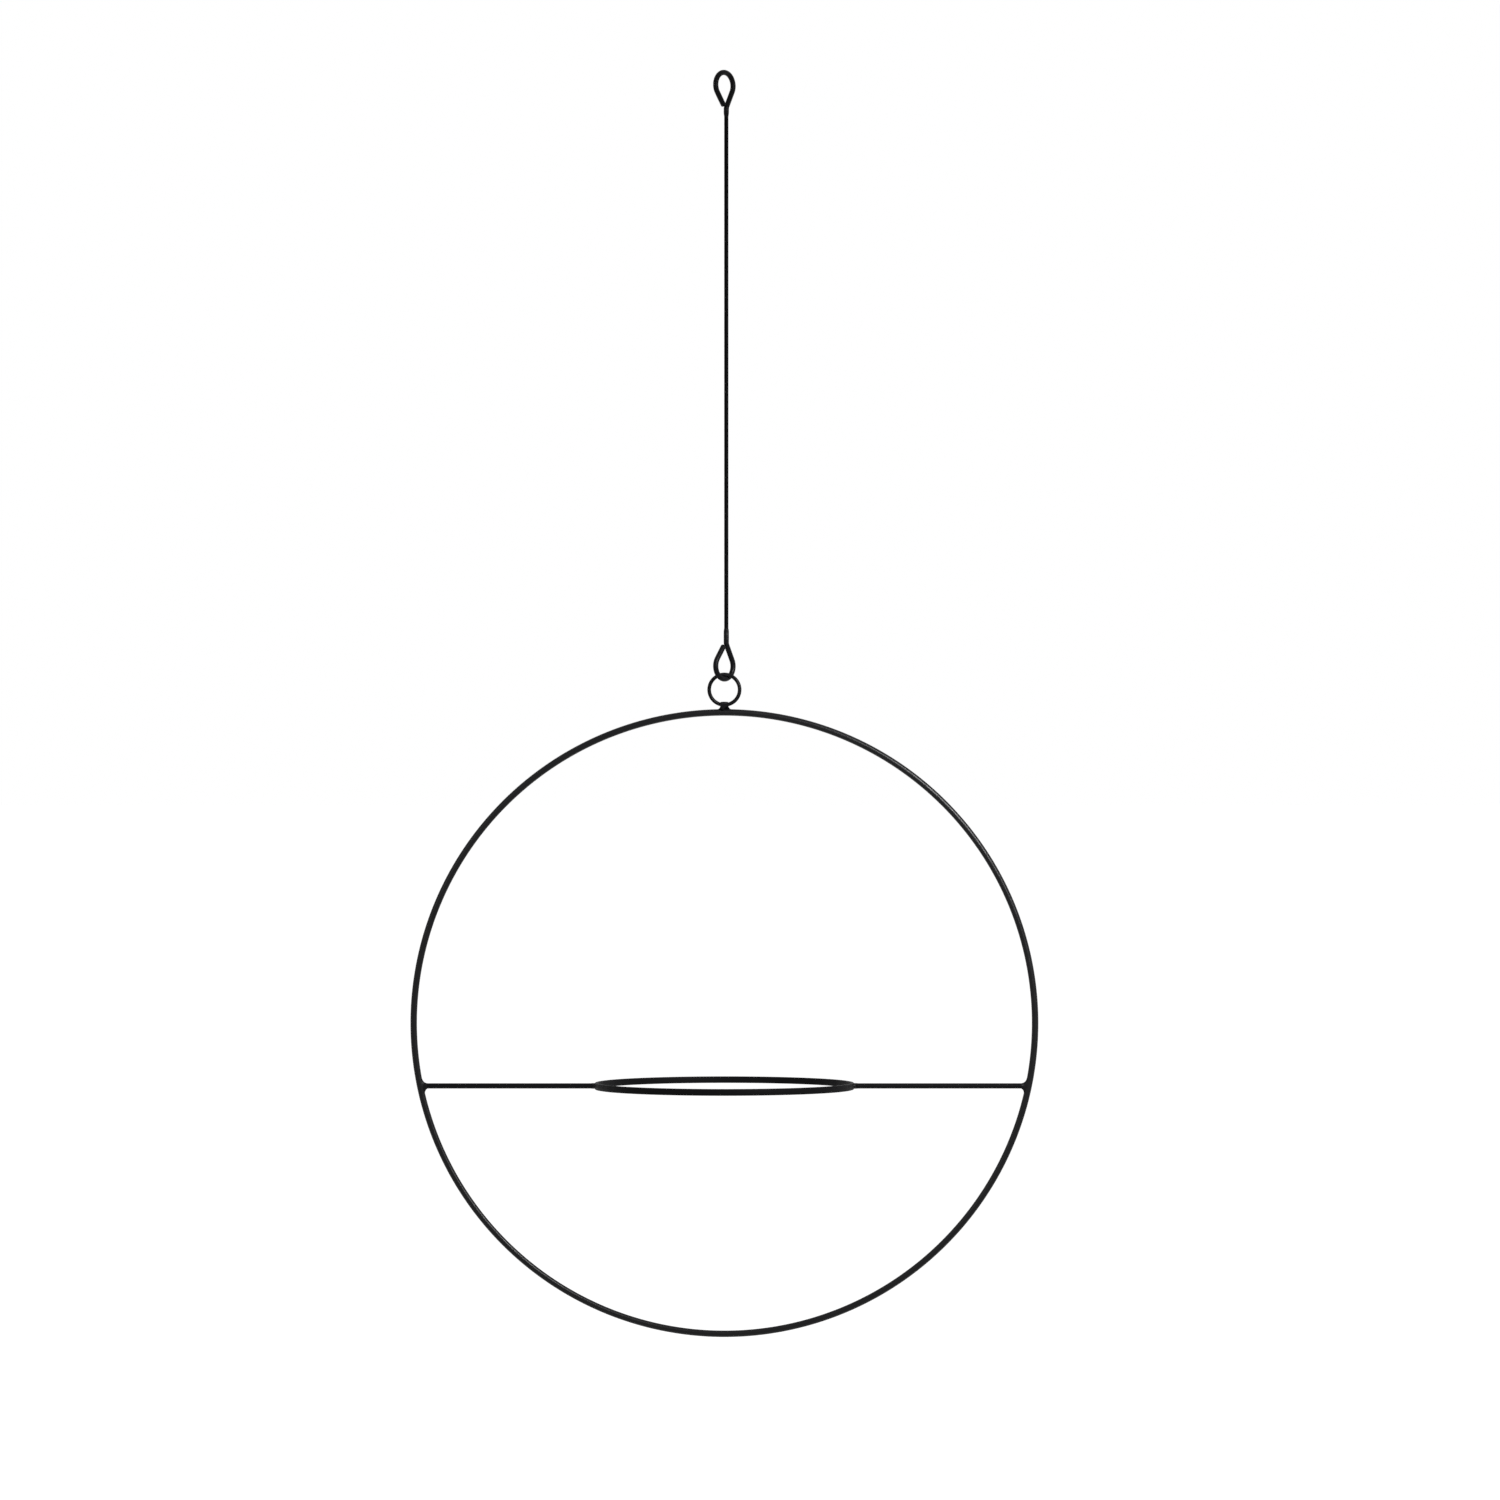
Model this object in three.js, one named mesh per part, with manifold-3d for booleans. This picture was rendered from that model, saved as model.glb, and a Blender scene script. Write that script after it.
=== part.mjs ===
// A hanging planter of black coated steel wire. A rod with an eye at each end carries a large hoop by a small
// loop, and two bars across the hoop hold a flat ring that a flower pot drops into.
// Millimetres, +Z up. The hoop stands in the XZ plane and its front faces -Y.
// The origin is where a hook bears, at the top of the upper eye's opening.
import * as THREE from "three";
import { mergeVertices } from "three/addons/utils/BufferGeometryUtils.js";
import Module from "manifold-3d";

// Wire thicknesses, over the coating
const EYE_WIRE = 3.4;
const SHAFT_WIRE = 2.7;
const LOOP_WIRE = 2.4;
const HOOP_WIRE = 4.2;
const BAR_WIRE = 3.4;

// Rod: its length over both eyes, and the eyes' bends, measured to the middle of the wire
const ROD_LENGTH = 390;
const EYE_BEND_RADIUS = 8.2;
const EYE_OPEN_LIMB_ANGLE = THREE.MathUtils.degToRad(36.5);
const EYE_NECK_LIMB_ANGLE = THREE.MathUtils.degToRad(28);
const EYE_TURN = THREE.MathUtils.degToRad(48);
const NECK_OFFSET = 1.8;
const NECK_BEND_RADIUS = 4;
const UPPER_NECK_LENGTH = 3.4;
const LOWER_NECK_LENGTH = 8;
const NECK_WELD_LENGTH = 2.2;

// Loop on top of the hoop: its round part stops short of the bottom by the end angle, and the ends bend down
const LOOP_OUTER_DIAMETER = 21.8;
const LOOP_STANDOFF = 12.4;
const LOOP_END_ANGLE = THREE.MathUtils.degToRad(15);
const LOOP_END_SLOPE = THREE.MathUtils.degToRad(60);
const LOOP_END_BEND_RADIUS = 7;
const LOOP_WEB = 0.6;
const LOOP_WELD_HEIGHT = 4.2;
const LOOP_WELD_TOP_WIDTH = 5;
const LOOP_WELD_TOP_DEPTH = 3.6;
const LOOP_WELD_FOOT_WIDTH = 8.4;
const LOOP_WELD_FOOT_DEPTH = 3.8;

// Hoop, bars and pot ring
const HOOP_OUTER_DIAMETER = 400;
const BAR_DROP = 40;
const POT_RING_OUTER_DIAMETER = 165;
const STRIP_HEIGHT = 4.2;
const STRIP_THICKNESS = 2;
const STRIP_EDGE_BREAK = 0.3;
const HOOP_WELD_LENGTH = 4;
const HOOP_WELD_FOOT_HEIGHT = 10;
const HOOP_WELD_FOOT_DEPTH = 3.9;
const POT_WELD_LENGTH = 1.8;
const POT_WELD_FOOT_WIDTH = 5.4;
const POT_WELD_FOOT_HEIGHT = 3.8;

// Satin black coating; weld metal and strip take it a little differently from wire
const COATINGS = {
  wire: { color: 0x1d1d1f, roughness: 0.48, metalness: 0 },
  weld: { color: 0x212123, roughness: 0.55, metalness: 0 },
  strip: { color: 0x232326, roughness: 0.5, metalness: 0 },
};

// Gap between pieces that touch
const CLEARANCE = 0.3;

// Facets
const WIRE_SIDES = 10;
const SHAFT_SIDES = 12;
const HOOP_STEPS = 120;
const POT_RING_STEPS = 96;
const BEND_STEP = THREE.MathUtils.degToRad(10);
const WELD_SIDES = 16;
const WELD_STEPS = 4;

// Places that follow from the sizes above
const lowerBearing = -(ROD_LENGTH - 2 * EYE_WIRE);
const loopRadius = (LOOP_OUTER_DIAMETER - LOOP_WIRE) / 2;
const loopTop = lowerBearing + CLEARANCE + LOOP_WIRE / 2;
const hoopTop = HOOP_OUTER_DIAMETER / 2;
const loopCentre = hoopTop + LOOP_STANDOFF;
const hoopCentre = loopTop - loopRadius - loopCentre;
const hoopRadius = (HOOP_OUTER_DIAMETER - HOOP_WIRE) / 2;
const potRingRadius = POT_RING_OUTER_DIAMETER / 2;

const wasm = await Module();
wasm.setup();

// The middle line of a bent wire, as points set close where it bends.
class WireRoute extends THREE.Curve {
  constructor(points) {
    super();
    this.points = points;
  }

  getPoint(t, target = new THREE.Vector3()) {
    const last = this.points.length - 1;
    const from = Math.min(Math.floor(t * last), last - 1);
    return target.lerpVectors(this.points[from], this.points[from + 1], t * last - from);
  }

  getPointAt(u, target) {
    return this.getPoint(u, target);
  }

  getTangentAt(u, target) {
    return this.getTangent(u, target);
  }
}

// Angles from start to end, evenly spaced and no further apart than one bend step.
function bendAngles(start, end) {
  const steps = Math.ceil(Math.abs(end - start) / BEND_STEP);
  return Array.from({ length: steps + 1 }, (_, i) => THREE.MathUtils.lerp(start, end, i / steps));
}

// A round wire along a route.
function bentWire(route, diameter) {
  const corners = Array.from({ length: WIRE_SIDES }, (_, i) => {
    const angle = (2 * Math.PI * i) / WIRE_SIDES;
    return new THREE.Vector2(Math.cos(angle), Math.sin(angle)).multiplyScalar(diameter / 2);
  });
  return new THREE.ExtrudeGeometry(new THREE.Shape(corners), {
    steps: route.points.length - 1,
    extrudePath: route,
  });
}

// A ring of round wire in the XZ plane.
function wireRing(radius, diameter) {
  return new THREE.TorusGeometry(radius, diameter / 2, WIRE_SIDES, HOOP_STEPS).rotateX(Math.PI / 2);
}

// The quarter round of a hollow fillet: how far along it is, and how far it has spread.
function hollowFillet() {
  return Array.from({ length: WELD_STEPS + 1 }, (_, i) => {
    const angle = (Math.PI / 2) * (i / WELD_STEPS);
    return { along: Math.sin(angle), spread: 1 - Math.cos(angle) };
  });
}

// Weld metal along +Y: it starts as wide and deep as the piece it covers, swells in a hollow curve to an oval
// foot, and goes straight on for the depth of its root.
function weldMetal(start, foot, length, root) {
  const rings = hollowFillet().map(({ along, spread }) => ({
    height: length * along,
    halfX: THREE.MathUtils.lerp(start.x, foot.x, spread) / 2,
    halfZ: THREE.MathUtils.lerp(start.z, foot.z, spread) / 2,
  }));
  rings.push({ height: length + root, halfX: foot.x / 2, halfZ: foot.z / 2 });
  const steps = rings.length - 1;
  const metal = new THREE.CylinderGeometry(1, 1, steps, WELD_SIDES, steps);
  const place = metal.attributes.position;
  for (let i = 0; i < place.count; i += 1) {
    const ring = rings[Math.round(place.getY(i) + steps / 2)];
    place.setXYZ(i, place.getX(i) * ring.halfX, ring.height, place.getZ(i) * ring.halfZ);
  }
  return metal;
}

// A closed geometry as a solid that can be cut.
function solidOf(geometry) {
  const bare = geometry.clone();
  bare.deleteAttribute("normal");
  bare.deleteAttribute("uv");
  const joined = mergeVertices(bare);
  return new wasm.Manifold(
    new wasm.Mesh({
      numProp: 3,
      vertProperties: joined.attributes.position.array,
      triVerts: new Uint32Array(joined.index.array),
    }),
  );
}

// A geometry with its neighbours' shapes cut away.
function cutBy(geometry, ...neighbours) {
  const left = neighbours.reduce((rest, next) => rest.subtract(solidOf(next)), solidOf(geometry));
  const { vertProperties, triVerts } = left.getMesh();
  const shape = new THREE.BufferGeometry();
  shape.setAttribute("position", new THREE.BufferAttribute(vertProperties, 3));
  shape.setIndex(new THREE.BufferAttribute(triVerts, 1));
  shape.computeVertexNormals();
  return shape;
}

// A named piece with its coating.
function piece(name, geometry, coating) {
  const mesh = new THREE.Mesh(geometry, new THREE.MeshStandardMaterial(COATINGS[coating]));
  mesh.name = name;
  return mesh;
}

// An eye in the XZ plane, with its bearing point at the origin and its neck towards +Z. The wire starts at
// the cut end, which closes on the other limb, runs round the bend and up that limb into the neck.
function eyeRoute(neckLength) {
  const middle = EYE_BEND_RADIUS - EYE_WIRE / 2;
  const onBend = (angle) => new THREE.Vector3(
    EYE_BEND_RADIUS * Math.sin(angle),
    0,
    middle - EYE_BEND_RADIUS * Math.cos(angle),
  );
  const openLimb = new THREE.Vector3(Math.sin(EYE_OPEN_LIMB_ANGLE), 0, Math.cos(EYE_OPEN_LIMB_ANGLE));
  const neckLimb = new THREE.Vector3(-Math.sin(EYE_NECK_LIMB_ANGLE), 0, Math.cos(EYE_NECK_LIMB_ANGLE));
  const openFoot = onBend(-Math.PI / 2 - EYE_OPEN_LIMB_ANGLE);
  const neckFoot = onBend(Math.PI / 2 + EYE_NECK_LIMB_ANGLE);
  const neckRun = (neckFoot.x - NECK_OFFSET) / Math.sin(EYE_NECK_LIMB_ANGLE);
  const neckCorner = neckFoot.clone().addScaledVector(neckLimb, neckRun);

  // The cut end's inner edge stops a clearance short of the other limb's side.
  const acrossOpen = new THREE.Vector3(openLimb.z, 0, -openLimb.x);
  const acrossNeck = new THREE.Vector3(neckLimb.z, 0, -neckLimb.x);
  const edge = openFoot.clone().addScaledVector(acrossOpen, EYE_WIRE / 2);
  const reach = neckCorner.clone().sub(edge).dot(acrossNeck) - EYE_WIRE / 2 - CLEARANCE;
  const cutEnd = openFoot.clone().addScaledVector(openLimb, reach / openLimb.dot(acrossNeck));

  const cornerRun = NECK_BEND_RADIUS * Math.tan(EYE_NECK_LIMB_ANGLE / 2);
  const neckBend = bendAngles(EYE_NECK_LIMB_ANGLE, 0).map((angle) => new THREE.Vector3(
    NECK_OFFSET + NECK_BEND_RADIUS * (1 - Math.cos(angle)),
    0,
    neckCorner.z + cornerRun - NECK_BEND_RADIUS * Math.sin(angle),
  ));
  const neckEnd = new THREE.Vector3(NECK_OFFSET, 0, neckCorner.z + neckLength);
  const bend = bendAngles(-Math.PI / 2 - EYE_OPEN_LIMB_ANGLE, Math.PI / 2 + EYE_NECK_LIMB_ANGLE).map(onBend);
  return new WireRoute([cutEnd, ...bend, ...neckBend, neckEnd]);
}

// Rod: two eyes, the shaft between their necks, and the butt welds that join them.
function makeRod() {
  const rod = new THREE.Group();
  rod.rotation.z = EYE_TURN;
  const upperRoute = eyeRoute(UPPER_NECK_LENGTH);
  const lowerRoute = eyeRoute(LOWER_NECK_LENGTH);

  const upperEye = piece("upper_eye", bentWire(upperRoute, EYE_WIRE), "wire");
  upperEye.rotation.x = Math.PI;
  const lowerEye = piece("lower_eye", bentWire(lowerRoute, EYE_WIRE), "wire");
  lowerEye.position.z = lowerBearing;

  const shaftTop = -upperRoute.points.at(-1).z - NECK_WELD_LENGTH;
  const shaftBottom = lowerBearing + lowerRoute.points.at(-1).z + NECK_WELD_LENGTH;
  const shaftRadius = SHAFT_WIRE / 2;
  const shaftGeometry = new THREE.CylinderGeometry(
    shaftRadius,
    shaftRadius,
    shaftTop - shaftBottom,
    SHAFT_SIDES,
  );
  const shaft = piece("hanger_shaft", shaftGeometry.rotateX(Math.PI / 2), "wire");
  shaft.position.set(NECK_OFFSET, 0, (shaftTop + shaftBottom) / 2);

  const taper = (NECK_WELD_LENGTH - 2 * CLEARANCE) / 2;
  const neckWeld = () => weldMetal(
    { x: SHAFT_WIRE, z: SHAFT_WIRE },
    { x: EYE_WIRE, z: EYE_WIRE },
    taper,
    taper,
  );
  const upperWeld = piece("upper_neck_weld", neckWeld(), "weld");
  upperWeld.rotation.x = Math.PI / 2;
  upperWeld.position.set(NECK_OFFSET, 0, shaftTop + CLEARANCE);
  const lowerWeld = piece("lower_neck_weld", neckWeld(), "weld");
  lowerWeld.rotation.x = -Math.PI / 2;
  lowerWeld.position.set(NECK_OFFSET, 0, shaftBottom - CLEARANCE);

  rod.add(upperEye, upperWeld, shaft, lowerWeld, lowerEye);
  return rod;
}

// The loop's wire in the hoop's frame: up from its front end, round, and down to its back end. It winds from
// front to back like one turn of a spring, so that its ends pass each other and bend down onto the hoop.
function loopRoute() {
  const sideStep = LOOP_WIRE / 2 + CLEARANCE + LOOP_WEB / 2;
  const onLoop = (angle) => new THREE.Vector3(
    loopRadius * Math.sin(angle),
    (sideStep * (angle - Math.PI)) / (Math.PI - LOOP_END_ANGLE),
    loopCentre - loopRadius * Math.cos(angle),
  );
  const round = bendAngles(LOOP_END_ANGLE, 2 * Math.PI - LOOP_END_ANGLE).map(onLoop);
  const bend = bendAngles(LOOP_END_ANGLE, LOOP_END_SLOPE).slice(1).map((slope) => ({
    x: round[0].x - LOOP_END_BEND_RADIUS * (Math.sin(slope) - Math.sin(LOOP_END_ANGLE)),
    z: round[0].z + LOOP_END_BEND_RADIUS * (Math.cos(slope) - Math.cos(LOOP_END_ANGLE)),
  }));
  const frontEnd = bend.map(({ x, z }) => new THREE.Vector3(x, -sideStep, z)).reverse();
  const backEnd = bend.map(({ x, z }) => new THREE.Vector3(-x, sideStep, z));
  return new WireRoute([...frontEnd, ...round, ...backEnd]);
}

// Loop and the weld that fills its crossing and seats it on the hoop.
function makeLoop() {
  const route = loopRoute();
  const hoopRoom = wireRing(hoopRadius, HOOP_WIRE + 2 * CLEARANCE);
  const loopRoom = bentWire(route, LOOP_WIRE + 2 * CLEARANCE);
  const loop = piece("suspension_loop", cutBy(bentWire(route, LOOP_WIRE), hoopRoom), "wire");
  const metal = weldMetal(
    { x: LOOP_WELD_TOP_WIDTH, z: LOOP_WELD_TOP_DEPTH },
    { x: LOOP_WELD_FOOT_WIDTH, z: LOOP_WELD_FOOT_DEPTH },
    LOOP_WELD_HEIGHT,
    HOOP_WIRE / 2,
  );
  metal.rotateX(-Math.PI / 2).translate(0, 0, hoopTop + LOOP_WELD_HEIGHT);
  return [loop, piece("loop_weld", cutBy(metal, loopRoom, hoopRoom), "weld")];
}

// Flat strip rolled to a ring, its edges broken.
function makePotRing() {
  const inside = potRingRadius - STRIP_THICKNESS;
  const half = STRIP_HEIGHT / 2;
  const profile = [
    [inside + STRIP_EDGE_BREAK, -half],
    [potRingRadius - STRIP_EDGE_BREAK, -half],
    [potRingRadius, -half + STRIP_EDGE_BREAK],
    [potRingRadius, half - STRIP_EDGE_BREAK],
    [potRingRadius - STRIP_EDGE_BREAK, half],
    [inside + STRIP_EDGE_BREAK, half],
    [inside, half - STRIP_EDGE_BREAK],
    [inside, -half + STRIP_EDGE_BREAK],
    [inside + STRIP_EDGE_BREAK, -half],
  ].map(([radius, height]) => new THREE.Vector2(radius, height));
  const strip = new THREE.LatheGeometry(profile, POT_RING_STEPS).rotateX(Math.PI / 2);
  const ring = piece("pot_ring", strip, "strip");
  ring.position.z = -BAR_DROP;
  return ring;
}

// One bar with its two welds, on the left (side -1) or the right (side 1) of the pot ring.
function makeBar(side, sideName) {
  const hoopInside = Math.sqrt((hoopRadius - HOOP_WIRE / 2) ** 2 - BAR_DROP ** 2);
  const outerEnd = hoopInside - HOOP_WELD_LENGTH;
  const innerEnd = potRingRadius + POT_WELD_LENGTH;
  const barRadius = BAR_WIRE / 2;
  const bar = piece(
    `crossbar_${sideName}`,
    new THREE.CylinderGeometry(barRadius, barRadius, outerEnd - innerEnd, SHAFT_SIDES).rotateZ(Math.PI / 2),
    "wire",
  );
  bar.position.set((side * (outerEnd + innerEnd)) / 2, 0, -BAR_DROP);

  const barSection = { x: BAR_WIRE, z: BAR_WIRE };
  const hoopMetal = weldMetal(
    barSection,
    { x: HOOP_WELD_FOOT_DEPTH, z: HOOP_WELD_FOOT_HEIGHT },
    HOOP_WELD_LENGTH - CLEARANCE,
    HOOP_WIRE / 2,
  );
  hoopMetal.rotateZ((-side * Math.PI) / 2).translate(side * (outerEnd + CLEARANCE), 0, -BAR_DROP);
  const hoopRoom = wireRing(hoopRadius, HOOP_WIRE + 2 * CLEARANCE);
  const hoopWeld = piece(`hoop_weld_${sideName}`, cutBy(hoopMetal, hoopRoom), "weld");

  const potMetal = weldMetal(
    barSection,
    { x: POT_WELD_FOOT_WIDTH, z: POT_WELD_FOOT_HEIGHT },
    POT_WELD_LENGTH - CLEARANCE,
    STRIP_THICKNESS / 2,
  );
  potMetal.rotateZ((side * Math.PI) / 2).translate(side * (innerEnd - CLEARANCE), 0, -BAR_DROP);
  const roomRadius = potRingRadius + CLEARANCE;
  const potRoom = new THREE.CylinderGeometry(roomRadius, roomRadius, 2 * STRIP_HEIGHT, POT_RING_STEPS);
  potRoom.rotateX(Math.PI / 2).translate(0, 0, -BAR_DROP);
  const potWeld = piece(`pot_ring_weld_${sideName}`, cutBy(potMetal, potRoom), "weld");
  return [hoopWeld, bar, potWeld];
}

// Hoop with its loop, bars and pot ring, in a frame whose origin is the hoop's centre.
function makeHoopFrame() {
  const frame = new THREE.Group();
  frame.position.z = hoopCentre;
  frame.add(piece("hoop", wireRing(hoopRadius, HOOP_WIRE), "wire"));
  frame.add(...makeLoop());
  frame.add(...makeBar(-1, "left"), ...makeBar(1, "right"), makePotRing());
  return frame;
}

const planter = new THREE.Group();
planter.add(makeRod(), makeHoopFrame());

export default planter;
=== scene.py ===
import math

import bmesh
import bpy
from mathutils import Matrix, Vector, noise


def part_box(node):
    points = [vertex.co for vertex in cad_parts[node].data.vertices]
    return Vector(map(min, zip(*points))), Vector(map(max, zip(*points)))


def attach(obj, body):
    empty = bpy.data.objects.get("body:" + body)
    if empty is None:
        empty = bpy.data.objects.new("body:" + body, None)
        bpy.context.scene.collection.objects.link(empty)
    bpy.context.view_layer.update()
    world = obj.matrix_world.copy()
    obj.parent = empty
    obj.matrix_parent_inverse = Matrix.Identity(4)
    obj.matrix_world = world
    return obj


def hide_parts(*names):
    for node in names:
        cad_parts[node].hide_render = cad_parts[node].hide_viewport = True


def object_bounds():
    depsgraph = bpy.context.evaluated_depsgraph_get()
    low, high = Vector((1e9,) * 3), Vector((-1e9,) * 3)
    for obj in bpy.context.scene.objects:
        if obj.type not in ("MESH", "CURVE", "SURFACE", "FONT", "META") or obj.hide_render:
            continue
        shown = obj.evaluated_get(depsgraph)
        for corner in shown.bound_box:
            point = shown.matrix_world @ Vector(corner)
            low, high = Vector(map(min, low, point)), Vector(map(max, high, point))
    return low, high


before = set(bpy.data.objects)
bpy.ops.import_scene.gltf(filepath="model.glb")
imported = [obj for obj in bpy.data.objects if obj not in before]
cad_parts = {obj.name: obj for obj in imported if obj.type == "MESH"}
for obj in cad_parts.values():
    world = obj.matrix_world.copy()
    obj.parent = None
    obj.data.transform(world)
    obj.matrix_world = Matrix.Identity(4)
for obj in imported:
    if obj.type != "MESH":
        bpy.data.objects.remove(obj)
cad_low, cad_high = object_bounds()

# Hoop: one length of drawn steel wire, rolled to a ring 40 cm across. Its ends are butt-welded and dressed
# flush, so no seam shows. The welded frame is sprayed with black powder, which melts to a satin skin in the
# oven.
MM = 0.001
HOOP_WIRE = 4.2 * MM
HOOP_STEPS = 720
WIRE_SIDES = 32
END_RING_GAP = 0.05 * MM
END_ROUND_TURNS = [math.radians(degrees) for degrees in (90, 60, 30, 0)]
COAT_BLACK = "#040405"
COAT_GREY = "#0b0b0d"
COAT_ROUGHNESS = (0.28, 0.4)
COAT_IOR = 1.5
COAT_SPECULAR = 0.14
COAT_CLOUD_SIZE = 24 * MM
COAT_PATCH_SIZE = 7 * MM
COAT_PATCH_RANGE = (0.3, 0.7)
COAT_PEEL_SIZE = 1 * MM
COAT_PEEL_DEPTH = 0.06 * MM


def linear(code):
    """An sRGB hex colour as linear red, green, blue and alpha."""
    shares = [int(code[i:i + 2], 16) / 255 for i in (1, 3, 5)]
    return [s / 12.92 if s <= 0.04045 else ((s + 0.055) / 1.055) ** 2.4 for s in shares] + [1]


def add(tree, kind, inputs, **settings):
    """One node with its settings; an input is a value, or an output of another node to link. Inputs go by
    number where names repeat: in a mix, 0 is the share, 2 and 3 are numbers, and 6 and 7 are colours."""
    node = tree.nodes.new(kind)
    for name, value in settings.items():
        setattr(node, name, value)
    for name, value in inputs.items():
        if isinstance(value, bpy.types.NodeSocket):
            tree.links.new(value, node.inputs[name])
        else:
            node.inputs[name].default_value = value
    return node


def powder_coat(name, black, grey, roughness, peel_depth, specular=COAT_SPECULAR):
    """Baked powder coat on steel: a satin black, a little cloudy, with the orange peel of melted powder in
    its gloss. The peel has its real width of 1 mm and is drawn deeper than its few microns, so it shows."""
    material = bpy.data.materials.new(name)
    material.use_nodes = True
    tree = material.node_tree
    tree.nodes.clear()
    place = add(tree, "ShaderNodeTexCoord", {}).outputs["Object"]
    cloud = add(tree, "ShaderNodeTexNoise", {"Vector": place, "Scale": 1 / COAT_CLOUD_SIZE, "Detail": 3})
    patch = add(tree, "ShaderNodeTexNoise", {"Vector": place, "Scale": 1 / COAT_PATCH_SIZE, "Detail": 2})
    peel = add(tree, "ShaderNodeTexNoise", {"Vector": place, "Scale": 1 / COAT_PEEL_SIZE, "Detail": 1})
    colour = add(
        tree,
        "ShaderNodeMix",
        {0: cloud.outputs["Fac"], 6: linear(black), 7: linear(grey)},
        data_type="RGBA",
    ).outputs[2]
    gloss = add(tree, "ShaderNodeMapRange", {
        "Value": patch.outputs["Fac"],
        "From Min": COAT_PATCH_RANGE[0],
        "From Max": COAT_PATCH_RANGE[1],
        "To Min": roughness[0],
        "To Max": roughness[1],
    }).outputs["Result"]
    bump = add(tree, "ShaderNodeBump", {"Height": peel.outputs["Fac"], "Distance": peel_depth})
    coat = add(tree, "ShaderNodeBsdfPrincipled", {
        "Base Color": colour,
        "Roughness": gloss,
        "IOR": COAT_IOR,
        "Specular IOR Level": specular,
        "Normal": bump.outputs["Normal"],
    })
    add(tree, "ShaderNodeOutputMaterial", {"Surface": coat.outputs["BSDF"]})
    return material


def round_turns(count):
    """Angles of one full turn in even steps, without the last, which is the first again."""
    return [2 * math.pi * i / count for i in range(count)]


def wire_rings(path, thickness, closed=False, end_round=0.0):
    """Rings of points round a wire's path. With end_round, its open ends are rounded, as cut ends are under
    a coat."""
    radius = thickness / 2
    stations = []
    for i, point in enumerate(path):
        before = path[i - 1] if closed or i > 0 else point
        after = path[(i + 1) % len(path)] if closed or i < len(path) - 1 else point
        stations.append((point, (after - before).normalized(), radius))
    if end_round:
        (first, start_along, _), (last, end_along, _) = stations[0], stations[-1]
        rounds = [
            (end_round * (1 - math.sin(a)), radius - end_round * (1 - math.cos(a)))
            for a in END_ROUND_TURNS
        ]
        starts = [(first + start_along * back, start_along, reach) for back, reach in rounds]
        ends = [(last - end_along * back, end_along, reach) for back, reach in reversed(rounds)]
        stations = starts + stations[1:-1] + ends
    turns = round_turns(WIRE_SIDES)
    heading = stations[0][1]
    side = heading.orthogonal().normalized()
    rings = []
    for point, along, reach in stations:
        side.rotate(heading.rotation_difference(along))
        heading = along
        across = along.cross(side)
        rings.append([point + (side * math.cos(a) + across * math.sin(a)) * reach for a in turns])
    return rings


def skin(name, rings, material, closed=False):
    """A smooth closed body over rings of points. Unless it closes on itself, its two end rings are filled,
    and a ring close to each end keeps the end's shading from running along the wire."""
    if not closed:
        second = [p + (q - p).normalized() * END_RING_GAP for p, q in zip(rings[0], rings[1])]
        next_to_last = [p + (q - p).normalized() * END_RING_GAP for p, q in zip(rings[-1], rings[-2])]
        rings = [rings[0], second, *rings[1:-1], next_to_last, rings[-1]]
    sides = len(rings[0])
    spans = len(rings) if closed else len(rings) - 1
    faces = []
    for i in range(spans):
        here, there = i * sides, (i + 1) % len(rings) * sides
        for j in range(sides):
            k = (j + 1) % sides
            faces.append((here + j, here + k, there + k, there + j))
    if not closed:
        faces.append(range(sides))
        faces.append(range(spans * sides, (spans + 1) * sides))
    mesh = bpy.data.meshes.new(name)
    mesh.from_pydata([point for ring in rings for point in ring], [], faces)
    shape = bmesh.new()
    shape.from_mesh(mesh)
    bmesh.ops.recalc_face_normals(shape, faces=shape.faces)
    shape.to_mesh(mesh)
    shape.free()
    mesh.shade_smooth()
    mesh.materials.append(material)
    piece = bpy.data.objects.new(name, mesh)
    bpy.context.scene.collection.objects.link(piece)
    return piece


hoop_low, hoop_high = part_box("hoop")
hoop_centre = (hoop_low + hoop_high) / 2
hoop_radius = (hoop_high.x - hoop_low.x - HOOP_WIRE) / 2


def on_hoop(angle):
    """A point on the middle line of the hoop's wire, and the direction outwards there."""
    outwards = Vector((math.cos(angle), 0, math.sin(angle)))
    return hoop_centre + outwards * hoop_radius, outwards


coated_wire = powder_coat("powder_coated_wire", COAT_BLACK, COAT_GREY, COAT_ROUGHNESS, COAT_PEEL_DEPTH)
hoop_path = [on_hoop(a)[0] for a in round_turns(HOOP_STEPS)]
hoop = skin("hoop_ring", wire_rings(hoop_path, HOOP_WIRE, closed=True), coated_wire, closed=True)
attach(hoop, "hoop_frame")
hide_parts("hoop")

# Crossbars: two straight lengths of thinner drawn wire, cut to reach from the hoop to the pot ring on each
# side. Their cut ends are hidden in the welds.
BAR_WIRE = 3.4 * MM
BAR_IN_WELD = 1.6 * MM
THIN_WIRE_SPECULAR = 0.06
SIDES = {"left": -1, "right": 1}
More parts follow.
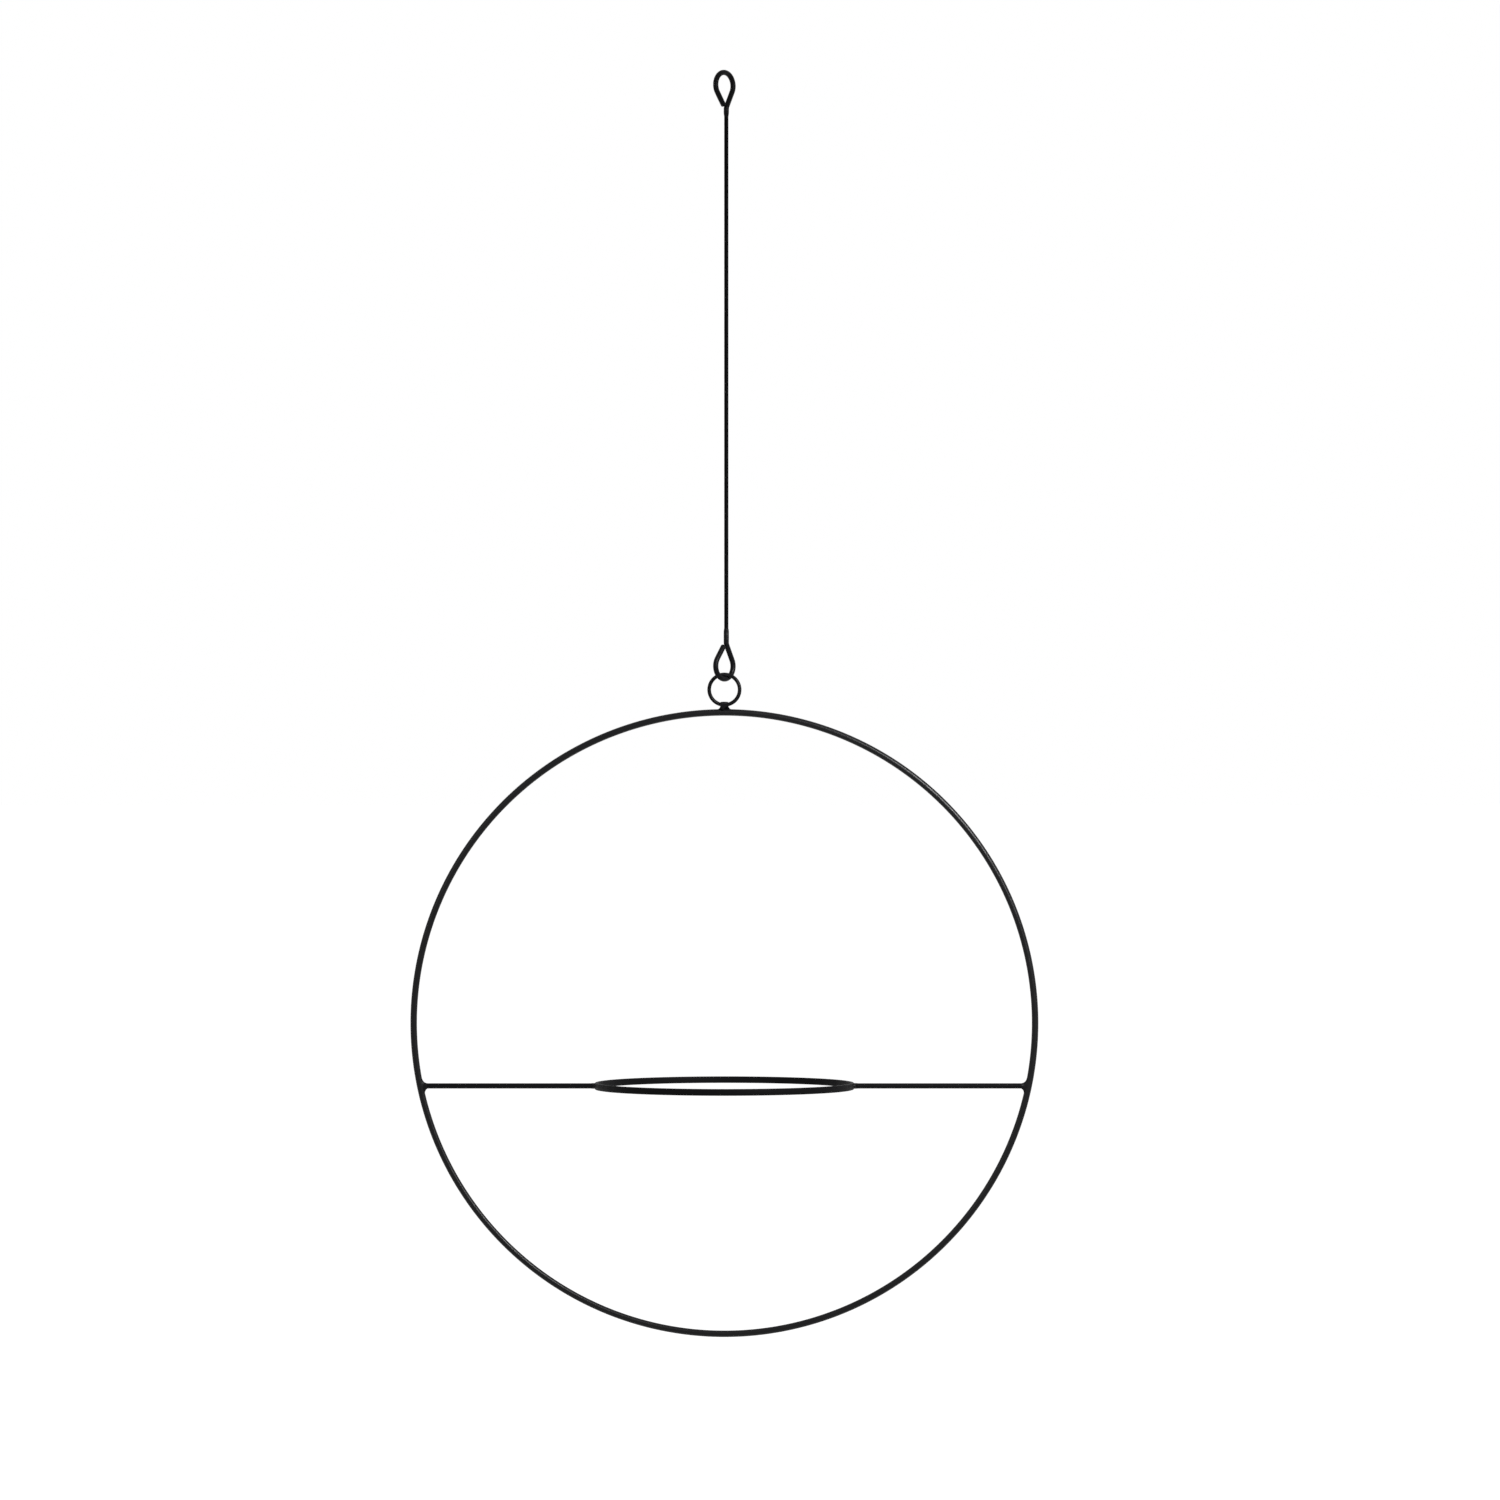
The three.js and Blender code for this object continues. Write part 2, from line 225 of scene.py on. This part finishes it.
# The coat of the thin wires has less gloss than the hoop's, so they look blacker.
coated_thin_wire = powder_coat(
    "powder_coated_thin_wire", COAT_BLACK, COAT_GREY, COAT_ROUGHNESS, COAT_PEEL_DEPTH, THIN_WIRE_SPECULAR
)
bar_height = sum(corner.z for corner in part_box("crossbar_left")) / 2
bar_ends = {}
for side_name, side in SIDES.items():
    bar_low, bar_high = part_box(f"crossbar_{side_name}")
    inner_end, outer_end = sorted((bar_low.x, bar_high.x), key=abs)
    bar_ends[side_name] = (inner_end, outer_end + side * BAR_IN_WELD)
    bar_path = [Vector((x, 0, bar_height)) for x in bar_ends[side_name]]
    bar = skin(f"crossbar_wire_{side_name}", wire_rings(bar_path, BAR_WIRE), coated_thin_wire)
    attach(bar, "hoop_frame")
    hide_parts(f"crossbar_{side_name}")

# Hoop welds: beads of weld metal that run from each bar onto the hoop in a hollow curve and wrap its inner
# side. They are left as laid, a little lumpy, and coated with the rest.
WELD_BLACK = "#040405"
WELD_GREY = "#0d0d0f"
WELD_ROUGHNESS = (0.34, 0.44)
WELD_SPECULAR = 0.1
WELD_PEEL_DEPTH = 0.09 * MM
WELD_STEPS = 14
WELD_SINK = 0.01 * MM
WELD_LAP = 0.6 * MM
WELD_LUMP_SIZE = 1.3 * MM
WELD_LUMP_HEIGHT = 0.09 * MM
WELD_FULLNESS = 0.55
HOOP_INSIDE, HOOP_OUTSIDE = -1, 1
HOOP_WELD_FOOT = 5.4 * MM
HOOP_WELD_WRAP = math.radians(68)
# On weld metal the coat is a little rougher and duller than on the hoop.
coated_weld = powder_coat(
    "powder_coated_weld", WELD_BLACK, WELD_GREY, WELD_ROUGHNESS, WELD_PEEL_DEPTH, WELD_SPECULAR
)


def collar(centre, heading, across, half_width, half_depth):
    """The line where a weld starts, an oval round a wire's axis, as points with their headings."""
    deep = heading.cross(across)
    return [
        (centre + across * math.cos(a) * half_width + deep * math.sin(a) * half_depth, heading)
        for a in round_turns(WIRE_SIDES)
    ]


def hoop_foot(angle, facing, half_length, wrap):
    """The line where a weld ends on the hoop's inside or outside, as points with their headings."""
    line = []
    for a in round_turns(WIRE_SIDES):
        middle, outwards = on_hoop(angle + math.cos(a) * half_length / hoop_radius)
        along = Vector((-outwards.z, 0, outwards.x))
        face = outwards * facing
        y_axis = face.cross(along) * facing
        lean = math.sin(a) * wrap
        out = face * math.cos(lean) + y_axis * math.sin(lean)
        down = y_axis * math.cos(lean) - face * math.sin(lean)
        heading = along * math.cos(a) * half_length + down * math.sin(a) * wrap * HOOP_WIRE / 2
        line.append((middle + out * HOOP_WIRE / 2, heading.normalized()))
    return line


def weld_rings(start, end):
    """Rings of a weld that leaves its start line straight, curves hollow in a cubic curve and runs out flat
    on its end line, with lumps between the two."""
    rings = []
    for i in range(WELD_STEPS + 1):
        t = i / WELD_STEPS
        ring = []
        for (p, leave), (q, arrive) in zip(start, end):
            run = q - p
            p_handle = p + leave * max(run.dot(leave), 0) * WELD_FULLNESS
            q_handle = q - arrive * max(run.dot(arrive), 0) * WELD_FULLNESS
            spot = (
                p * (1 - t) ** 3
                + p_handle * 3 * t * (1 - t) ** 2
                + q_handle * 3 * t ** 2 * (1 - t)
                + q * t ** 3
            )
            ring.append(spot)
        middle = sum(ring, Vector()) / len(ring)
        swell = WELD_LUMP_HEIGHT * math.sin(math.pi * t)
        rings.append([s + (s - middle).normalized() * swell * noise.noise(s / WELD_LUMP_SIZE) for s in ring])
    return rings


bar_reach = BAR_WIRE / 2 - WELD_SINK
bar_drop = bar_height - hoop_centre.z
bar_half_span = math.sqrt(hoop_radius ** 2 - bar_drop ** 2)
for side_name, side in SIDES.items():
    outer_end = bar_ends[side_name][1]
    start = Vector((outer_end - side * WELD_LAP, 0, bar_height))
    weld_angle = math.atan2(bar_drop, side * bar_half_span)
    rings = weld_rings(
        collar(start, Vector((side, 0, 0)), Vector((0, 0, side)), bar_reach, bar_reach),
        hoop_foot(weld_angle, HOOP_INSIDE, HOOP_WELD_FOOT, HOOP_WELD_WRAP),
    )
    weld = skin(f"hoop_weld_bead_{side_name}", rings, coated_weld)
    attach(weld, "hoop_frame")
    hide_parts(f"hoop_weld_{side_name}")

# Pot ring: flat steel strip rolled on edge to a ring, its ends butt-welded and dressed, its edges broken.
# A flower pot drops into it and hangs by its rim on the upper edge.
STRIP_THICKNESS = 2 * MM
STRIP_EDGE_ROUND = 0.35 * MM
STRIP_STEPS = 360
STRIP_CORNER_STEPS = 4
STRIP_BLACK = "#030304"
STRIP_GREY = "#0a0a0b"
STRIP_ROUGHNESS = (0.52, 0.6)
STRIP_SPECULAR = 0.05
# On the strip the coat is nearly matt, so its flat sides stay black where they are seen at a slant.
coated_strip = powder_coat(
    "powder_coated_strip", STRIP_BLACK, STRIP_GREY, STRIP_ROUGHNESS, COAT_PEEL_DEPTH, STRIP_SPECULAR
)
strip_low, strip_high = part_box("pot_ring")
strip_outside = (strip_high.x - strip_low.x) / 2
strip_inside = strip_outside - STRIP_THICKNESS
# Each corner has its radius and height, and the signs of the way into the strip, outwards and upwards.
strip_corners = (
    (strip_outside, strip_high.z, -1, -1),
    (strip_inside, strip_high.z, 1, -1),
    (strip_inside, strip_low.z, 1, 1),
    (strip_outside, strip_low.z, -1, 1),
)
strip_section = []
for corner, (radius, height, outwards, upwards) in enumerate(strip_corners):
    for i in range(STRIP_CORNER_STEPS + 1):
        turn = (corner + i / STRIP_CORNER_STEPS) * math.pi / 2
        strip_section.append((
            radius + STRIP_EDGE_ROUND * (outwards + math.cos(turn)),
            height + STRIP_EDGE_ROUND * (upwards + math.sin(turn)),
        ))
strip_rings = [
    [Vector((r * math.cos(a), r * math.sin(a), z)) for r, z in strip_section]
    for a in round_turns(STRIP_STEPS)
]
strip = skin("pot_ring_strip", strip_rings, coated_strip, closed=True)
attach(strip, "hoop_frame")
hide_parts("pot_ring")

# Pot ring welds: short bulging beads that join the bars' inner ends to the outer face of the strip, no taller
# than it is. They are left as laid and coated with the rest.
POT_WELD_HALF_WIDTH = 2.9 * MM
POT_WELD_HALF_HEIGHT = 1.85 * MM
for side_name, side in SIDES.items():
    inner_end = bar_ends[side_name][0]
    start = Vector((inner_end + side * WELD_LAP, 0, bar_height))
    edge_line = collar(start, Vector((-side, 0, 0)), Vector((0, 0, 1)), bar_reach, bar_reach)
    edge = [point for point, _ in edge_line]
    foot = []
    for a in round_turns(WIRE_SIDES):
        y = -side * math.sin(a) * POT_WELD_HALF_WIDTH
        x = side * math.sqrt(strip_outside ** 2 - y ** 2)
        z = bar_height + math.cos(a) * POT_WELD_HALF_HEIGHT
        foot.append(Vector((x, y, z)))
    # The bead widens fast at first and slowly at its foot, which makes it bulge.
    rings = []
    for i in range(WELD_STEPS + 1):
        turn = math.pi / 2 * i / WELD_STEPS
        share = Vector((1 - math.cos(turn), math.sin(turn), math.sin(turn)))
        rings.append([p + (q - p) * share for p, q in zip(edge, foot)])
    weld = skin(f"pot_ring_weld_bead_{side_name}", rings, coated_weld)
    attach(weld, "hoop_frame")
    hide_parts(f"pot_ring_weld_{side_name}")

# Suspension loop: one turn of thin drawn wire, wound like a spring coil so that its ends pass each other and
# run down onto the hoop's top, one in front and one behind. It goes through the eye of the rod before it is
# welded.
LOOP_WIRE = 2.4 * MM
LOOP_RADIUS = 9.7 * MM
LOOP_END_ANGLE = math.radians(15)
LOOP_END_SLOPE = math.radians(60)
LOOP_END_BEND_RADIUS = 7 * MM
LOOP_SIDE_STEP = 1.8 * MM
LOOP_END_ROUND = 0.5 * MM
LOOP_STEPS = 120
LOOP_END_STEPS = 12
RUB_AND_SHEEN_REACH = 5 * MM
# The paler grey of the rubbed spots is partly worn coat and partly a painted highlight on the bearing.
RUB_AND_SHEEN_GREY = "#161618"
RUB_ROUGHNESS = 0.24


def rubbed_with_painted_sheen(coat, name, point):
    """The same coat, greyer and smoother round one point, where the hanging pieces rub and polish it. The
    paler grey there is partly worn coat and partly a painted highlight.
    """
    material = coat.copy()
    material.name = name
    tree = material.node_tree
    shader = tree.nodes["Principled BSDF"]
    place = add(tree, "ShaderNodeTexCoord", {}).outputs["Object"]
    reach = add(tree, "ShaderNodeVectorMath", {0: place, 1: point}, operation="DISTANCE").outputs["Value"]
    share = add(tree, "ShaderNodeMapRange", {
        "Value": reach,
        "From Min": RUB_AND_SHEEN_REACH,
        "From Max": RUB_AND_SHEEN_REACH / 2,
        "To Min": 0,
        "To Max": 1,
    }).outputs["Result"]
    colour = shader.inputs["Base Color"].links[0].from_socket
    gloss = shader.inputs["Roughness"].links[0].from_socket
    worn_and_sheen_colour = add(
        tree, "ShaderNodeMix", {0: share, 6: colour, 7: linear(RUB_AND_SHEEN_GREY)}, data_type="RGBA"
    ).outputs[2]
    worn_gloss = add(tree, "ShaderNodeMix", {0: share, 2: gloss, 3: RUB_ROUGHNESS}).outputs[0]
    tree.links.new(worn_and_sheen_colour, shader.inputs["Base Color"])
    tree.links.new(worn_gloss, shader.inputs["Roughness"])
    return material


loop_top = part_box("suspension_loop")[1].z - LOOP_WIRE / 2
loop_centre = loop_top - LOOP_RADIUS
loop_half_turn = math.pi - LOOP_END_ANGLE
loop_turn = []
for i in range(LOOP_STEPS + 1):
    a = LOOP_END_ANGLE + 2 * loop_half_turn * i / LOOP_STEPS
    loop_turn.append(Vector((
        LOOP_RADIUS * math.sin(a),
        LOOP_SIDE_STEP * (a - math.pi) / loop_half_turn,
        loop_centre - LOOP_RADIUS * math.cos(a),
    )))
back_end = []
for i in range(1, LOOP_END_STEPS + 1):
    slope = LOOP_END_ANGLE + (LOOP_END_SLOPE - LOOP_END_ANGLE) * i / LOOP_END_STEPS
    across = LOOP_END_BEND_RADIUS * (math.sin(slope) - math.sin(LOOP_END_ANGLE))
    down = LOOP_END_BEND_RADIUS * (math.cos(LOOP_END_ANGLE) - math.cos(slope))
    back_end.append(loop_turn[-1] + Vector((across, 0, -down)))
front_end = [Vector((-p.x, -p.y, p.z)) for p in reversed(back_end)]
# The loop's top, where the eye bears, is drawn paler: partly rubbed wear, partly a painted highlight.
loop_coat_with_sheen = rubbed_with_painted_sheen(coated_thin_wire, "powder_coated_wire_worn_sheen_loop", (0, 0, loop_top))
loop_rings = wire_rings([*front_end, *loop_turn, *back_end], LOOP_WIRE, end_round=LOOP_END_ROUND)
loop = skin("suspension_loop_wire", loop_rings, loop_coat_with_sheen)
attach(loop, "hoop_frame")
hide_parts("suspension_loop")

# Loop weld: one bead that fills the crossing of the loop's ends and runs out along the top of the hoop both
# ways. It carries the whole hoop, so it is the thickest bead on the frame.
HOOP_TOP = math.pi / 2
LOOP_WELD_CROWN = {"height": 4.75 * MM, "half_width": 3.1 * MM, "half_depth": 1.85 * MM}
LOOP_WELD_NECK = {"height": 2.5 * MM, "half_width": 2.6 * MM, "half_depth": 1.85 * MM}
LOOP_WELD_FLATNESS = 0.55
LOOP_WELD_CROWN_STEPS = 8
LOOP_WELD_FOOT = 4.4 * MM
LOOP_WELD_WRAP = math.radians(58)


def loop_weld_collar(height, half_width, half_depth):
    """A level oval round the loop weld's middle line, at a height over the hoop."""
    centre = Vector((0, 0, hoop_high.z + height))
    return collar(centre, Vector((0, 0, -1)), Vector((-1, 0, 0)), half_width, half_depth)


crown_height = LOOP_WELD_CROWN["height"] - LOOP_WELD_NECK["height"]
crown = []
for i in range(1, LOOP_WELD_CROWN_STEPS + 1):
    turn = math.pi / 2 * i / (LOOP_WELD_CROWN_STEPS + 1)
    drop = crown_height * (1 - math.cos(turn) ** LOOP_WELD_FLATNESS)
    spread = math.sin(turn) ** LOOP_WELD_FLATNESS
    level = loop_weld_collar(
        LOOP_WELD_CROWN["height"] - drop,
        LOOP_WELD_CROWN["half_width"] * spread,
        LOOP_WELD_CROWN["half_depth"] * spread,
    )
    crown.append([point for point, _ in level])
neck = loop_weld_collar(**LOOP_WELD_NECK)
rings = crown + weld_rings(neck, hoop_foot(HOOP_TOP, HOOP_OUTSIDE, LOOP_WELD_FOOT, LOOP_WELD_WRAP))
weld = skin("loop_weld_bead", rings, coated_weld)
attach(weld, "hoop_frame")
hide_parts("loop_weld")

# Rod eyes: drawn wire bent round a pin to a drop-shaped eye. The cut end closes on the limb that runs on as
# the neck. The lower eye holds the hoop's loop, and the upper one, turned over, goes on a hook.
EYE_WIRE = 3.4 * MM
EYE_BEND_RADIUS = 8.2 * MM
EYE_OPEN_LIMB_ANGLE = math.radians(36.5)
EYE_NECK_LIMB_ANGLE = math.radians(28)
EYE_TURN = math.radians(48)
EYE_END_GAP = 0.1 * MM
EYE_SEAT = 0.2 * MM
EYE_END_ROUND = 0.8 * MM
EYE_STEP = math.radians(3)
NECK_OFFSET = 1.8 * MM
NECK_BEND_RADIUS = 4 * MM
NECK_LENGTHS = {"upper": 3.4 * MM, "lower": 8 * MM}


def arc(start, end):
    """Angles from start to end in even steps."""
    steps = math.ceil(abs(end - start) / EYE_STEP)
    return [start + (end - start) * i / steps for i in range(steps + 1)]


def eye_path(neck_length):
    """The eye's middle line in the XZ plane, with its bearing point at the origin and its neck upwards."""
    middle = EYE_BEND_RADIUS - EYE_WIRE / 2

    def on_bend(a):
        return Vector((EYE_BEND_RADIUS * math.sin(a), 0, middle - EYE_BEND_RADIUS * math.cos(a)))

    open_turn = -math.pi / 2 - EYE_OPEN_LIMB_ANGLE
    neck_turn = math.pi / 2 + EYE_NECK_LIMB_ANGLE
    open_limb = Vector((math.sin(EYE_OPEN_LIMB_ANGLE), 0, math.cos(EYE_OPEN_LIMB_ANGLE)))
    neck_limb = Vector((-math.sin(EYE_NECK_LIMB_ANGLE), 0, math.cos(EYE_NECK_LIMB_ANGLE)))
    open_foot, neck_foot = on_bend(open_turn), on_bend(neck_turn)
    corner = neck_foot + neck_limb * (neck_foot.x - NECK_OFFSET) / math.sin(EYE_NECK_LIMB_ANGLE)
    across_open = Vector((open_limb.z, 0, -open_limb.x))
    across_neck = Vector((neck_limb.z, 0, -neck_limb.x))
    edge = open_foot + across_open * EYE_WIRE / 2
    reach = (corner - edge).dot(across_neck) - EYE_WIRE / 2 - EYE_END_GAP
    cut_end = open_foot + open_limb * reach / open_limb.dot(across_neck)
    corner_run = NECK_BEND_RADIUS * math.tan(EYE_NECK_LIMB_ANGLE / 2)
    neck_bend = [
        Vector((
            NECK_OFFSET + NECK_BEND_RADIUS * (1 - math.cos(a)),
            0,
            corner.z + corner_run - NECK_BEND_RADIUS * math.sin(a),
        ))
        for a in arc(EYE_NECK_LIMB_ANGLE, 0)
    ]
    neck_end = Vector((NECK_OFFSET, 0, corner.z + neck_length))
    return [cut_end, *map(on_bend, arc(open_turn, neck_turn)), *neck_bend, neck_end]


# The lower eye is raised against the loop, which closes the small gap that the solids keep there.
lower_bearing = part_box("lower_eye")[0].z + EYE_WIRE + EYE_SEAT
eye_places = {
    "upper": Matrix.Rotation(EYE_TURN, 4, "Z") @ Matrix.Rotation(math.pi, 4, "X"),
    "lower": Matrix.Translation((0, 0, lower_bearing)) @ Matrix.Rotation(EYE_TURN, 4, "Z"),
}
neck_ends = {}
for eye_name, eye_place in eye_places.items():
    path = [eye_place @ point for point in eye_path(NECK_LENGTHS[eye_name])]
    neck_ends[eye_name] = path[-1]
    # Each eye's bearing point is drawn paler: partly rubbed wear, partly a painted highlight.
    eye_coat_with_sheen = rubbed_with_painted_sheen(
        coated_thin_wire, f"powder_coated_wire_worn_sheen_{eye_name}_eye", eye_place.translation
    )
    eye = skin(f"{eye_name}_eye_wire", wire_rings(path, EYE_WIRE, end_round=EYE_END_ROUND), eye_coat_with_sheen)
    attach(eye, "hanger")
    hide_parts(f"{eye_name}_eye")

# Shaft: a straight length of drawn wire between the two eyes, thinner than theirs. It is welded to their
# necks, and the rod is coated as one.
SHAFT_WIRE = 2.7 * MM
# These blacks are darker than the wire coat's, as painted shade.
SHAFT_SHADED_BLACK = "#020202"
SHAFT_SHADED_GREY = "#060607"
SHAFT_ROUGHNESS = (0.5, 0.6)
SHAFT_SPECULAR = 0.02
# The shaft's coat is a darker, duller copy of the wire coat: painted shade that keeps the thin shaft near
# black.
shaded_shaft_coat = powder_coat(
    "powder_coated_rod_shaded", SHAFT_SHADED_BLACK, SHAFT_SHADED_GREY, SHAFT_ROUGHNESS, COAT_PEEL_DEPTH, SHAFT_SPECULAR
)
shaft_low, shaft_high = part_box("hanger_shaft")
shaft_axis = neck_ends["lower"]
shaft_path = [Vector((shaft_axis.x, shaft_axis.y, z)) for z in (shaft_low.z, shaft_high.z)]
shaft = skin("hanger_shaft_wire", wire_rings(shaft_path, SHAFT_WIRE), shaded_shaft_coat)
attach(shaft, "hanger")
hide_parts("hanger_shaft")

# Neck welds: butt welds between the shaft and the thicker necks of the eyes. They taper from one wire to the
# other, and the upset metal swells a little under the coat.
NECK_WELD_UPSET = 0.04 * MM
NECK_WELD_SPECULAR = 0.05
# Here the coat is between the thin wires' gloss and the shaft's dull black.
coated_neck_weld = powder_coat(
    "powder_coated_neck_weld", COAT_BLACK, COAT_GREY, WELD_ROUGHNESS, COAT_PEEL_DEPTH, NECK_WELD_SPECULAR
)
shaft_reach = SHAFT_WIRE / 2 - WELD_SINK
neck_reach = EYE_WIRE / 2 - WELD_SINK
for eye_name, shaft_end, upwards in (("upper", shaft_high.z, 1), ("lower", shaft_low.z, -1)):
    heading = Vector((0, 0, upwards))
    start = Vector((shaft_axis.x, shaft_axis.y, shaft_end)) - heading * WELD_LAP
    end = neck_ends[eye_name] + heading * WELD_LAP
    rings = []
    for i in range(WELD_STEPS + 1):
        t = i / WELD_STEPS
        ease = t * t * (3 - 2 * t)
        swell = NECK_WELD_UPSET * math.sin(math.pi * ease)
        reach = shaft_reach + (neck_reach - shaft_reach) * ease + swell
        ring = collar(start.lerp(end, t), heading, Vector((1, 0, 0)), reach, reach)
        rings.append([point for point, _ in ring])
    weld = skin(f"{eye_name}_neck_weld_bead", rings, coated_neck_weld)
    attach(weld, "hanger")
    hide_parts(f"{eye_name}_neck_weld")

# Camera: level, about 4.3 m in front of the hoop and higher than its bars, so that the pot ring is seen from
# a little above. Its place and lens follow from where the hoop lies in a picture 1500 pixels square.
PICTURE_SIZE = 1500
HOOP_WIDTH_PIXELS = 628
HOOP_CENTRE_PIXELS = (724.4, 1023.1)
CAMERA_DISTANCE = 4.27
CAMERA_FAR_CLIP = 200
SENSOR_WIDTH = 36
pixel = (hoop_high.x - hoop_low.x) / HOOP_WIDTH_PIXELS
camera_data = bpy.data.cameras.new("camera")
camera_data.sensor_width = SENSOR_WIDTH
camera_data.lens = SENSOR_WIDTH * CAMERA_DISTANCE / (PICTURE_SIZE * pixel)
camera_data.clip_end = CAMERA_FAR_CLIP
camera = bpy.data.objects.new("camera", camera_data)
camera.location = (
    hoop_centre.x + (PICTURE_SIZE / 2 - HOOP_CENTRE_PIXELS[0]) * pixel,
    -CAMERA_DISTANCE,
    hoop_centre.z + (HOOP_CENTRE_PIXELS[1] - PICTURE_SIZE / 2) * pixel,
)
camera.rotation_euler = (math.pi / 2, 0, 0)
bpy.context.scene.collection.objects.link(camera)
bpy.context.scene.camera = camera

# Floor: a wide, flat floor in matt white below the hanging hoop. It is drawn white to the eye and still takes
# the soft shadow of the wires.
FLOOR_DROP = 160 * MM
FLOOR_HALF_SIZE = 60
FLOOR_WHITE = "#f4f4f4"
FLOOR_GLOW = 0.9
GLOW_WHITE = "#ffffff"
floor_mesh = bpy.data.meshes.new("floor")
floor_height = cad_low.z - FLOOR_DROP
floor_corners = [
    (x * FLOOR_HALF_SIZE, y * FLOOR_HALF_SIZE, floor_height)
    for x, y in ((-1, -1), (1, -1), (1, 1), (-1, 1))
]
floor_mesh.from_pydata(floor_corners, [], [(0, 1, 2, 3)])
floor = bpy.data.objects.new("floor", floor_mesh)
bpy.context.scene.collection.objects.link(floor)


def seen_directly(tree):
    """1 for rays that show a background: from the camera, by reflection or through glass."""
    path = add(tree, "ShaderNodeLightPath", {})
    either = add(
        tree,
        "ShaderNodeMath",
        {0: path.outputs["Is Camera Ray"], 1: path.outputs["Is Glossy Ray"]},
        operation="MAXIMUM",
    )
    return add(
        tree,
        "ShaderNodeMath",
        {0: either.outputs[0], 1: path.outputs["Is Transmission Ray"]},
        operation="MAXIMUM",
    ).outputs[0]


# Matt white paint, which looks even and pure white.
white_floor = bpy.data.materials.new("white_floor")
white_floor.use_nodes = True
tree = white_floor.node_tree
tree.nodes.clear()
matt = add(tree, "ShaderNodeBsdfDiffuse", {"Color": linear(FLOOR_WHITE)})
glow = add(tree, "ShaderNodeEmission", {"Color": linear(GLOW_WHITE), "Strength": FLOOR_GLOW})
lit = add(tree, "ShaderNodeAddShader", {0: matt.outputs[0], 1: glow.outputs[0]})
seen = add(tree, "ShaderNodeMixShader", {0: seen_directly(tree), 1: matt.outputs[0], 2: lit.outputs[0]})
add(tree, "ShaderNodeOutputMaterial", {"Surface": seen.outputs[0]})
floor_mesh.materials.append(white_floor)

# Studio light: a room that shows plain white behind the object, a key lamp in front of the hoop, above it and
# to its right, with a narrow spread, and a weaker, wider fill lamp in front on the left.
ROOM_LIGHT = 0.15
BACKDROP_LIGHT = 1
LAMPS = {
    "key": {
        "place": (0.66, -0.78, 0.02),
        "aim": (0.17, 0, -0.45),
        "size": 0.3,
        "power": 3.2,
        "spread": math.radians(60),
    },
    "fill": {
        "place": (-1.0, -1.1, -0.05),
        "aim": (-0.1, 0, -0.6),
        "size": 0.5,
        "power": 2.8,
        "spread": math.radians(180),
    },
}
for lamp_name, lamp in LAMPS.items():
    lamp_data = bpy.data.lights.new(lamp_name, "AREA")
    lamp_data.size = lamp["size"]
    lamp_data.energy = lamp["power"]
    lamp_data.spread = lamp["spread"]
    lamp_object = bpy.data.objects.new(lamp_name, lamp_data)
    beam = Vector(lamp["aim"]) - Vector(lamp["place"])
    lamp_object.location = lamp["place"]
    lamp_object.rotation_euler = beam.to_track_quat("-Z", "Y").to_euler()
    lamp_object.visible_camera = False
    bpy.context.scene.collection.objects.link(lamp_object)
room = bpy.data.worlds.new("white_room")
room.use_nodes = True
tree = room.node_tree
tree.nodes.clear()
ambient = add(tree, "ShaderNodeBackground", {"Color": linear(GLOW_WHITE), "Strength": ROOM_LIGHT})
backdrop = add(tree, "ShaderNodeBackground", {"Color": linear(GLOW_WHITE), "Strength": BACKDROP_LIGHT})
seen = add(tree, "ShaderNodeMixShader", {
    0: seen_directly(tree),
    1: ambient.outputs[0],
    2: backdrop.outputs[0],
})
add(tree, "ShaderNodeOutputWorld", {"Surface": seen.outputs[0]})
bpy.context.scene.world = room
bpy.context.scene.view_settings.view_transform = "Standard"
